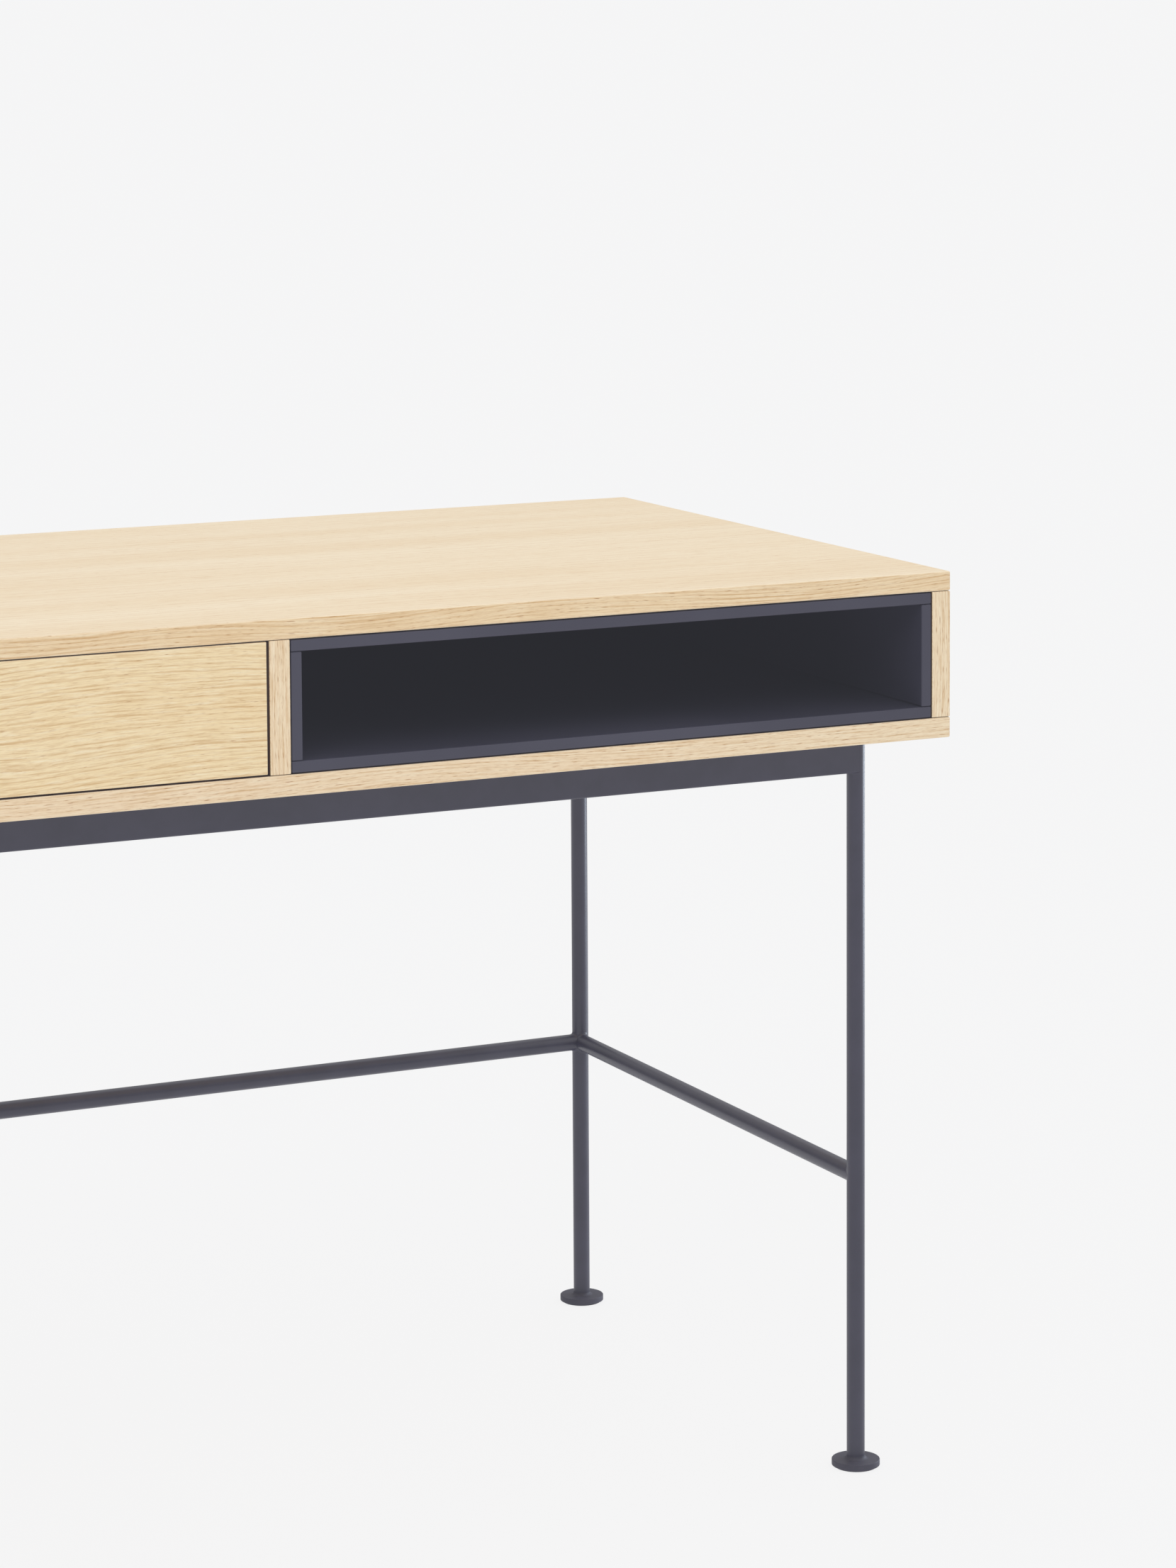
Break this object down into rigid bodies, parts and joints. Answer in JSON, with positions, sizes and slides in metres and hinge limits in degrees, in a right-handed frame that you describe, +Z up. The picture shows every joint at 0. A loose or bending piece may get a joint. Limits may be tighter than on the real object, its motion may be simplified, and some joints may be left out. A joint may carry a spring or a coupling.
{
  "type": "writing desk",
  "caption": "Writing desk: oak-veneered case with flush push-to-open drawers and an open lacquered niche, on a slim welded steel tube frame with round disc feet.",
  "frame": {"origin": "on the floor under the middle of the top", "axes": "+Z up, +X along the length towards the niche, front (drawer fronts) towards -Y"},
  "size_m": [1.4, 0.6, 0.75],
  "materials": {
    "oak_veneer": "pale oak veneer, clear matt lacquer",
    "birch_ply": "clear-lacquered birch",
    "slate_lacquer": "dark slate matt lacquer on fibreboard",
    "slate_powder_coat": "satin dark slate powder coat on steel",
    "zinc_steel": "bright zinc plate",
    "grey_plastic": "moulded grey",
    "white_plastic": "moulded white",
    "felt": "dense pressed felt"
  },
  "bodies": {
    "desk": {"top_panel": "oak_veneer", "bottom_panel": "oak_veneer", "left_side_panel": "oak_veneer", "right_side_panel": "oak_veneer", "drawer_divider": "oak_veneer", "niche_divider": "oak_veneer", "back_panel": "oak_veneer", "niche_box_top": "slate_lacquer", "niche_box_bottom": "slate_lacquer", "niche_box_left": "slate_lacquer", "niche_box_right": "slate_lacquer", "niche_box_back": "slate_lacquer", "left_drawer_left_slide_case_member": "zinc_steel", "left_drawer_right_slide_case_member": "zinc_steel", "left_latch_housing": "grey_plastic", "centre_drawer_left_slide_case_member": "zinc_steel", "centre_drawer_right_slide_case_member": "zinc_steel", "centre_latch_housing": "grey_plastic", "front_rail": "slate_powder_coat", "rear_rail": "slate_powder_coat", "right_rail": "slate_powder_coat", "left_rail": "slate_powder_coat", "rear_stretcher": "slate_powder_coat", "right_stretcher": "slate_powder_coat", "left_stretcher": "slate_powder_coat", "front_left_leg": "slate_powder_coat", "front_right_leg": "slate_powder_coat", "rear_left_leg": "slate_powder_coat", "rear_right_leg": "slate_powder_coat", "front_left_foot": "slate_powder_coat", "front_right_foot": "slate_powder_coat", "rear_left_foot": "slate_powder_coat", "rear_right_foot": "slate_powder_coat", "front_left_pad": "felt", "front_right_pad": "felt", "rear_left_pad": "felt", "rear_right_pad": "felt"},
    "left_drawer": {"left_drawer_front": "oak_veneer", "left_drawer_left_side": "birch_ply", "left_drawer_right_side": "birch_ply", "left_drawer_floor": "birch_ply", "left_drawer_back": "birch_ply", "left_drawer_left_slide_drawer_member": "zinc_steel", "left_drawer_right_slide_drawer_member": "zinc_steel"},
    "left_drawer_left_runner": {"left_drawer_left_slide_middle_member": "zinc_steel"},
    "left_drawer_right_runner": {"left_drawer_right_slide_middle_member": "zinc_steel"},
    "left_plunger": {"left_latch_plunger": "white_plastic"},
    "centre_drawer": {"centre_drawer_front": "oak_veneer", "centre_drawer_left_side": "birch_ply", "centre_drawer_right_side": "birch_ply", "centre_drawer_floor": "birch_ply", "centre_drawer_back": "birch_ply", "centre_drawer_left_slide_drawer_member": "zinc_steel", "centre_drawer_right_slide_drawer_member": "zinc_steel"},
    "centre_drawer_left_runner": {"centre_drawer_left_slide_middle_member": "zinc_steel"},
    "centre_drawer_right_runner": {"centre_drawer_right_slide_middle_member": "zinc_steel"},
    "centre_plunger": {"centre_latch_plunger": "white_plastic"}
  },
  "joints": [
    {"name": "left_drawer_slide", "type": "slide", "parent": "desk", "child": "left_drawer", "axis": [0, -1, 0], "range_m": [0, 0.48]},
    {"name": "left_drawer_left_runner_slide", "type": "slide", "parent": "desk", "child": "left_drawer_left_runner", "axis": [0, -1, 0], "range_m": [0, 0.24]},
    {"name": "left_drawer_right_runner_slide", "type": "slide", "parent": "desk", "child": "left_drawer_right_runner", "axis": [0, -1, 0], "range_m": [0, 0.24]},
    {"name": "left_plunger_press", "type": "slide", "parent": "desk", "child": "left_plunger", "axis": [0, 1, 0], "range_m": [0, 0.003], "stiffness_N_per_m": 300, "springref_m": -0.005},
    {"name": "centre_drawer_slide", "type": "slide", "parent": "desk", "child": "centre_drawer", "axis": [0, -1, 0], "range_m": [0, 0.48]},
    {"name": "centre_drawer_left_runner_slide", "type": "slide", "parent": "desk", "child": "centre_drawer_left_runner", "axis": [0, -1, 0], "range_m": [0, 0.24]},
    {"name": "centre_drawer_right_runner_slide", "type": "slide", "parent": "desk", "child": "centre_drawer_right_runner", "axis": [0, -1, 0], "range_m": [0, 0.24]},
    {"name": "centre_plunger_press", "type": "slide", "parent": "desk", "child": "centre_plunger", "axis": [0, 1, 0], "range_m": [0, 0.003], "stiffness_N_per_m": 300, "springref_m": -0.005}
  ],
  "couplings": [
    {"joint": "left_drawer_left_runner_slide", "follows": "left_drawer_slide", "ratio": 0.5},
    {"joint": "left_drawer_right_runner_slide", "follows": "left_drawer_slide", "ratio": 0.5},
    {"joint": "centre_drawer_left_runner_slide", "follows": "centre_drawer_slide", "ratio": 0.5},
    {"joint": "centre_drawer_right_runner_slide", "follows": "centre_drawer_slide", "ratio": 0.5}
  ]
}
